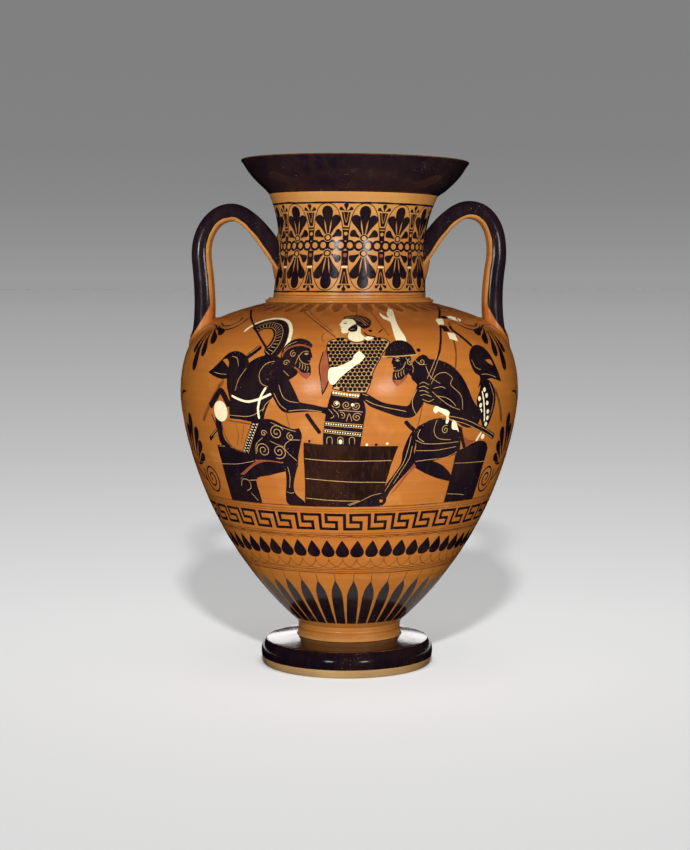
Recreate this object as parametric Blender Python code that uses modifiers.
"""Neck-amphora: a two-handled jar in fired clay, as the pieces that its potter lutes together.

Run with: blender --background --python part.py, or from Blender's text editor.
Lengths are in metres. +Z is up along the axis of the pot, +X points to the right handle,
and the origin is the centre of the face that the pot stands on.
"""

import math

import bmesh
import bpy
import numpy as np
from mathutils import Vector
from mathutils.geometry import interpolate_bezier

# The pot's outside
HEIGHT = 0.420
RIM_RADIUS = 0.0945
NECK_TOP_RADIUS = 0.0700
NECK_WAIST_RADIUS = 0.0610
NECK_BASE_RADIUS = 0.0638
NECK_RING_RADIUS = 0.0702
BELLY_RADIUS = 0.1407
STEM_RADIUS = 0.0360
FOOT_RADIUS = 0.0722

# Heights of the joints and of the widest and narrowest places
FOOT_TOP_Z = 0.0205
STEM_TOP_Z = 0.0337
BOWL_BASE_Z = 0.0365
BELLY_Z = 0.2280
SHOULDER_TOP_Z = 0.3030
NECK_WAIST_Z = 0.3520
NECK_TOP_Z = 0.3915

# Clay thickness, and the joints between the thrown sections
BODY_WALL = 0.0055
NECK_WALL = 0.0055
FLOOR_Z = 0.0435
LAP = 0.0050
GAP = 0.0003

# How the axis strays along X, as on a pot joined by hand, and how far the mouth leans over
DRIFT_HEIGHTS = (FOOT_TOP_Z, 0.0243, SHOULDER_TOP_Z, NECK_TOP_Z, 0.3955)
DRIFT_SHIFTS = (-0.0020, 0.0, 0.0, 0.0036, 0.0049)
MOUTH_TILT = math.radians(0.75)

# Handles: three oval reeds side by side
REED_DEPTH = 0.0154
REED_WIDTH = 0.0104
REED_PITCH = REED_WIDTH + GAP
LANES = {"front": -1, "middle": 0, "back": 1}
SIDES = {"right": 0.0, "left": math.pi}

TURN_STEPS = 44
REED_SIDES_LEVEL = 3
REED_PATH_STEPS = 8

CLAY = (0.480, 0.160, 0.045, 1.0)
BLACK_GLOSS = (0.010, 0.008, 0.009, 1.0)


def clear_scene():
    for obj in list(bpy.data.objects):
        bpy.data.objects.remove(obj)


def new_collection(name):
    collection = bpy.data.collections.new(name)
    bpy.context.scene.collection.children.link(collection)
    return collection


def fired_clay(name, colour, roughness):
    material = bpy.data.materials.new(name)
    material.use_nodes = True
    shader = material.node_tree.nodes["Principled BSDF"]
    shader.inputs["Base Color"].default_value = colour
    shader.inputs["Roughness"].default_value = roughness
    shader.inputs["Metallic"].default_value = 0.0
    return material


def curve_points(start, pull_start, pull_end, end, count):
    """Points of (radius, z) along one cubic curve, its two ends included."""
    knots = [Vector((r, 0.0, z)) for r, z in (start, pull_start, pull_end, end)]
    return [(p.x, p.z) for p in interpolate_bezier(*knots, count)]


def inset(points, depth):
    """The outline moved into the clay by depth. The outline runs down the outer side."""
    moved = []
    for i, (r, z) in enumerate(points):
        before = points[max(i - 1, 0)]
        after = points[min(i + 1, len(points) - 1)]
        along = Vector((after[0] - before[0], after[1] - before[1])).normalized()
        moved.append((r + along.y * depth, z - along.x * depth))
    return moved


def stray(mesh):
    """Moves a turned mesh off the true axis, as its height says, and leans its top over."""
    for vertex in mesh.vertices:
        x, z = vertex.co.x, vertex.co.z
        lean = np.interp(z, (SHOULDER_TOP_Z, NECK_TOP_Z), (0.0, MOUTH_TILT))
        vertex.co.x = x + np.interp(z, DRIFT_HEIGHTS, DRIFT_SHIFTS)
        vertex.co.z = z - x * math.tan(lean)


def turned(name, outline, collection, closed=True):
    """A turned piece. The outline of (radius, z) runs down its outer side and up its inner one."""
    mesh = bpy.data.meshes.new(name)
    count = len(outline)
    edges = [(i, i + 1) for i in range(count - 1)]
    if closed:
        edges.append((count - 1, 0))
    mesh.from_pydata([(r, 0.0, z) for r, z in outline], edges, [])
    obj = bpy.data.objects.new(name, mesh)
    collection.objects.link(obj)
    screw = obj.modifiers.new("Turn", "SCREW")
    screw.steps = TURN_STEPS
    screw.render_steps = TURN_STEPS
    screw.use_merge_vertices = True
    screw.merge_threshold = 0.00005
    stray(make_mesh(obj))
    return obj


def make_mesh(obj):
    """Turns the object's modifiers, or its curve, into a plain mesh that is shaded smooth."""
    graph = bpy.context.evaluated_depsgraph_get()
    mesh = bpy.data.meshes.new_from_object(obj.evaluated_get(graph))
    mesh.name = obj.name
    if obj.type == "MESH":
        obj.modifiers.clear()
        obj.data = mesh
    mesh.shade_smooth()
    mesh.set_sharp_from_angle(angle=math.radians(35))
    return mesh


def cut(obj, cutter):
    boolean = obj.modifiers.new(f"Cut {cutter.name}", "BOOLEAN")
    boolean.operation = "DIFFERENCE"
    boolean.object = cutter


# Outlines that more than one piece is cut to

def bowl_outside():
    return curve_points((BELLY_RADIUS, BELLY_Z), (BELLY_RADIUS, 0.2118),
                        (0.1288, 0.1141), (0.0437, BOWL_BASE_Z), 11)


def shoulder_outside():
    return curve_points((0.0690, SHOULDER_TOP_Z), (0.1118, 0.2916),
                        (BELLY_RADIUS, 0.2857), (BELLY_RADIUS, BELLY_Z), 10)


def neck_outside():
    waist = (NECK_WAIST_RADIUS, NECK_WAIST_Z)
    flare = curve_points((NECK_TOP_RADIUS, NECK_TOP_Z), (0.0645, 0.3800),
                         (NECK_WAIST_RADIUS - 0.0002, 0.3660), waist, 5)
    base = curve_points(waist, (NECK_WAIST_RADIUS + 0.0002, 0.3350),
                        (0.0630, 0.3150), (NECK_BASE_RADIUS, SHOULDER_TOP_Z + GAP), 4)
    return flare + base[1:]


# The thrown sections, from the ground up

def make_foot(parts):
    """A disc on a flat ring, hollow underneath, with the short stem that carries the bowl."""
    bore = STEM_RADIUS - 0.0120
    ring_inside = FOOT_RADIUS - 0.0165
    outline = [
        (STEM_RADIUS, STEM_TOP_Z),
        (STEM_RADIUS, 0.0252),
        (0.0440, 0.0243),
        (0.0680, FOOT_TOP_Z),
        (0.0692, 0.0195),
        (0.0708, 0.0165),
        (FOOT_RADIUS, 0.0108),
        (0.0712, 0.0048),
        (0.0695, 0.0000),
        (ring_inside, 0.0000),
        (ring_inside - 0.0040, 0.0070),
        (0.0360, 0.0150),
        (bore, 0.0210),
        (bore, STEM_TOP_Z),
    ]
    return turned("foot", outline, parts)


def make_foot_collar(parts):
    """The clay fillet round the stem, with the step that the potter's tool leaves in it."""
    inside = STEM_RADIUS + GAP
    outline = [
        (inside, STEM_TOP_Z),
        (0.0402, STEM_TOP_Z),
        (0.0434, 0.0360),
        (0.0428, 0.0325),
        (0.0424, 0.0296),
        (0.0431, 0.0288),
        (0.0437, 0.0248),
        (inside, 0.0256),
    ]
    return turned("foot_collar", outline, parts)


def make_bowl(parts):
    outside = bowl_outside()
    inside = inset(outside, BODY_WALL)[1:-2]
    tongue = BELLY_RADIUS - BODY_WALL / 2 - GAP / 2
    outline = [
        (0.0, FLOOR_Z),
        (0.0250, FLOOR_Z + 0.0010),
        *reversed(inside),
        (BELLY_RADIUS - BODY_WALL, BELLY_Z + LAP),
        (tongue, BELLY_Z + LAP),
        (tongue, BELLY_Z),
        *outside,
        (0.0405, STEM_TOP_Z + GAP),
        (0.0, STEM_TOP_Z + GAP),
    ]
    return turned("bowl", outline, parts, closed=False)


def make_shoulder(parts):
    """The upper section: it laps over the bowl's tongue and takes the neck's spigot."""
    outside = shoulder_outside()
    inside = inset(outside, BODY_WALL)[1:-1]
    opening = NECK_BASE_RADIUS - 0.0035
    lap = BELLY_RADIUS - BODY_WALL / 2 + GAP / 2
    outline = [
        *outside[:-1],
        (BELLY_RADIUS, BELLY_Z + GAP),
        (lap, BELLY_Z + GAP),
        (lap, BELLY_Z + LAP + GAP),
        (BELLY_RADIUS - BODY_WALL, BELLY_Z + LAP + GAP),
        *reversed(inside),
        (opening, SHOULDER_TOP_Z - BODY_WALL),
        (opening, SHOULDER_TOP_Z),
    ]
    return turned("shoulder", outline, parts)


def make_neck_ring(parts):
    low = SHOULDER_TOP_Z + GAP
    inside = NECK_BASE_RADIUS + GAP
    outline = [
        (inside, low + 0.0038),
        (NECK_RING_RADIUS - 0.0008, low + 0.0038),
        (NECK_RING_RADIUS, low + 0.0030),
        (NECK_RING_RADIUS, low + 0.0006),
        (NECK_RING_RADIUS - 0.0006, low),
        (inside, low),
    ]
    return turned("neck_ring", outline, parts)


def make_neck(parts):
    """The concave neck, with a spigot below for the shoulder and a rebate above for the mouth."""
    outside = neck_outside()
    waist_inside = NECK_WAIST_RADIUS - NECK_WALL
    spigot = NECK_BASE_RADIUS - 0.0038
    rebate_low = NECK_TOP_Z - LAP
    outline = [
        *outside,
        (spigot, SHOULDER_TOP_Z + GAP),
        (spigot, SHOULDER_TOP_Z - LAP),
        (spigot - 0.0030, SHOULDER_TOP_Z - LAP),
        *curve_points((spigot - 0.0025, 0.3120), (waist_inside, 0.3300),
                      (waist_inside, 0.3700), (0.0575, rebate_low), 5),
        (0.0617 + GAP, rebate_low),
        (0.0617 + GAP, NECK_TOP_Z),
    ]
    return turned("neck", outline, parts)


def make_mouth(parts):
    """The flaring mouth with its flat rim, and the spigot that seats it in the neck."""
    low = NECK_TOP_Z + GAP
    spigot_low = NECK_TOP_Z - LAP + GAP
    outline = [
        (0.0860, HEIGHT),
        (0.0937, HEIGHT),
        (RIM_RADIUS, HEIGHT - 0.0008),
        *curve_points((0.0938, HEIGHT - 0.0020), (0.0885, 0.4142),
                      (0.0909, 0.4083), (NECK_TOP_RADIUS, low), 7),
        (0.0617, low),
        (0.0617, spigot_low),
        *curve_points((0.0575, spigot_low), (0.0620, 0.3990),
                      (0.0800, 0.4030), (0.0850, 0.4185), 5),
    ]
    return turned("mouth", outline, parts)


# The handles

def reed_knots():
    """Centre line of the right handle in the XZ plane: (point, pull before, pull after)."""
    return [
        ((0.1175, 0.2700), (0.1165, 0.2500), (0.1185, 0.2900)),
        ((0.1230, 0.3370), (0.1230, 0.3180), (0.1230, 0.3610)),
        ((0.0970, 0.3778), (0.1130, 0.3778), (0.0820, 0.3778)),
        ((0.0520, 0.3390), (0.0639, 0.3525), (0.0401, 0.3255)),
    ]


def reed_mesh(name, grow):
    """An oval rod along the handle's centre line, thicker all round by grow."""
    curve = bpy.data.curves.new(name, "CURVE")
    curve.dimensions = "3D"
    curve.resolution_u = REED_PATH_STEPS
    curve.bevel_resolution = REED_SIDES_LEVEL
    curve.bevel_depth = REED_DEPTH / 2 + grow
    curve.use_fill_caps = True
    spline = curve.splines.new("BEZIER")
    knots = reed_knots()
    spline.bezier_points.add(len(knots) - 1)
    for knot, (point, before, after) in zip(spline.bezier_points, knots):
        knot.co = (point[0], 0.0, point[1])
        knot.handle_left = (before[0], 0.0, before[1])
        knot.handle_right = (after[0], 0.0, after[1])
    guide = bpy.data.objects.new(name, curve)
    bpy.context.scene.collection.objects.link(guide)
    bpy.context.view_layer.update()
    mesh = make_mesh(guide)
    bpy.data.objects.remove(guide)
    shape = bmesh.new()
    shape.from_mesh(mesh)
    bmesh.ops.remove_doubles(shape, verts=shape.verts, dist=0.00001)
    flatten = (REED_WIDTH / 2 + grow) / (REED_DEPTH / 2 + grow)
    bmesh.ops.scale(shape, vec=(1.0, flatten, 1.0), verts=shape.verts)
    bmesh.ops.recalc_face_normals(shape, faces=shape.faces)
    shape.to_mesh(mesh)
    shape.free()
    return mesh


def place_reed(name, mesh, lane, turn, collection):
    """A reed in its lane. The left handle is the right one after half a turn about Z."""
    reed = bpy.data.objects.new(name, mesh)
    reed.location.y = LANES[lane] * REED_PITCH
    reed.rotation_euler.z = turn
    collection.objects.link(reed)
    return reed


def make_luting(name, centre, half_sizes, tilt, turn, parts):
    """The wad smoothed round one end of a handle, as a whole mound before it is cut to fit."""
    mesh = bpy.data.meshes.new(name)
    shape = bmesh.new()
    bmesh.ops.create_uvsphere(shape, u_segments=22, v_segments=11, radius=1.0)
    bmesh.ops.scale(shape, vec=half_sizes, verts=shape.verts)
    shape.to_mesh(mesh)
    shape.free()
    wad = bpy.data.objects.new(name, mesh)
    wad.location = (centre[0] * math.cos(turn), 0.0, centre[1])
    wad.rotation_euler = (0.0, tilt, turn)
    parts.objects.link(wad)
    return wad


def as_cutter(obj):
    obj.hide_render = True
    obj.display_type = "WIRE"
    return obj


def wall_cutter(name, outside, low_z, cutters):
    """A solid of the pot's outside, grown by the gap, for what is luted onto it."""
    grown = inset(outside, -GAP)
    top_z = grown[0][1]
    outline = [(0.0, top_z), *grown, (grown[-1][0], low_z), (0.0, low_z)]
    return as_cutter(turned(name, outline, cutters, closed=False))


def make_handle(side, turn, reed, thick_reed, walls, parts, cutters):
    """Three reeds and the two wads that hold them, each piece cut clear of its neighbours."""
    neck, shoulder = walls
    reeds = [place_reed(f"handle_{side}_reed_{lane}", reed.copy(), lane, turn, parts)
             for lane in LANES]
    sleeves = [as_cutter(place_reed(f"{side}_{lane}_cutter", thick_reed, lane, turn, cutters))
               for lane in LANES]
    upper = make_luting(f"handle_{side}_neck_luting", (0.0605, 0.3465),
                        (0.0050, 0.0195, 0.0250), 0.0, turn, parts)
    upper.location.x += np.interp(upper.location.z, DRIFT_HEIGHTS, DRIFT_SHIFTS)
    lower = make_luting(f"handle_{side}_shoulder_luting", (0.1180, 0.2825),
                        (0.0150, 0.0195, 0.0045), math.radians(38), turn, parts)
    for piece in reeds:
        cut(piece, neck)
        cut(piece, shoulder)
    for piece, wall in ((upper, neck), (lower, shoulder)):
        for cutter in (wall, *sleeves):
            cut(piece, cutter)
    return [*reeds, upper, lower]


def make_handles(parts, cutters):
    walls = (wall_cutter("neck_cutter", neck_outside(), 0.3000, cutters),
             wall_cutter("shoulder_cutter", shoulder_outside(), 0.2200, cutters))
    reed = reed_mesh("reed", 0.0)
    thick_reed = reed_mesh("reed_clearance", GAP)
    pieces = []
    for side, turn in SIDES.items():
        pieces += make_handle(side, turn, reed, thick_reed, walls, parts, cutters)
    return pieces


def main():
    clear_scene()
    parts = new_collection("amphora")
    cutters = new_collection("cutters")
    cutters.hide_render = True
    bare_clay = [
        make_foot_collar(parts),
        make_bowl(parts),
        make_shoulder(parts),
        make_neck_ring(parts),
        make_neck(parts),
    ]
    glossed = [make_foot(parts), make_mouth(parts), *make_handles(parts, cutters)]
    for pieces, colour, roughness in ((bare_clay, CLAY, 0.38), (glossed, BLACK_GLOSS, 0.18)):
        for piece in pieces:
            piece.data.materials.clear()
            piece.data.materials.append(fired_clay(piece.name, colour, roughness))


main()
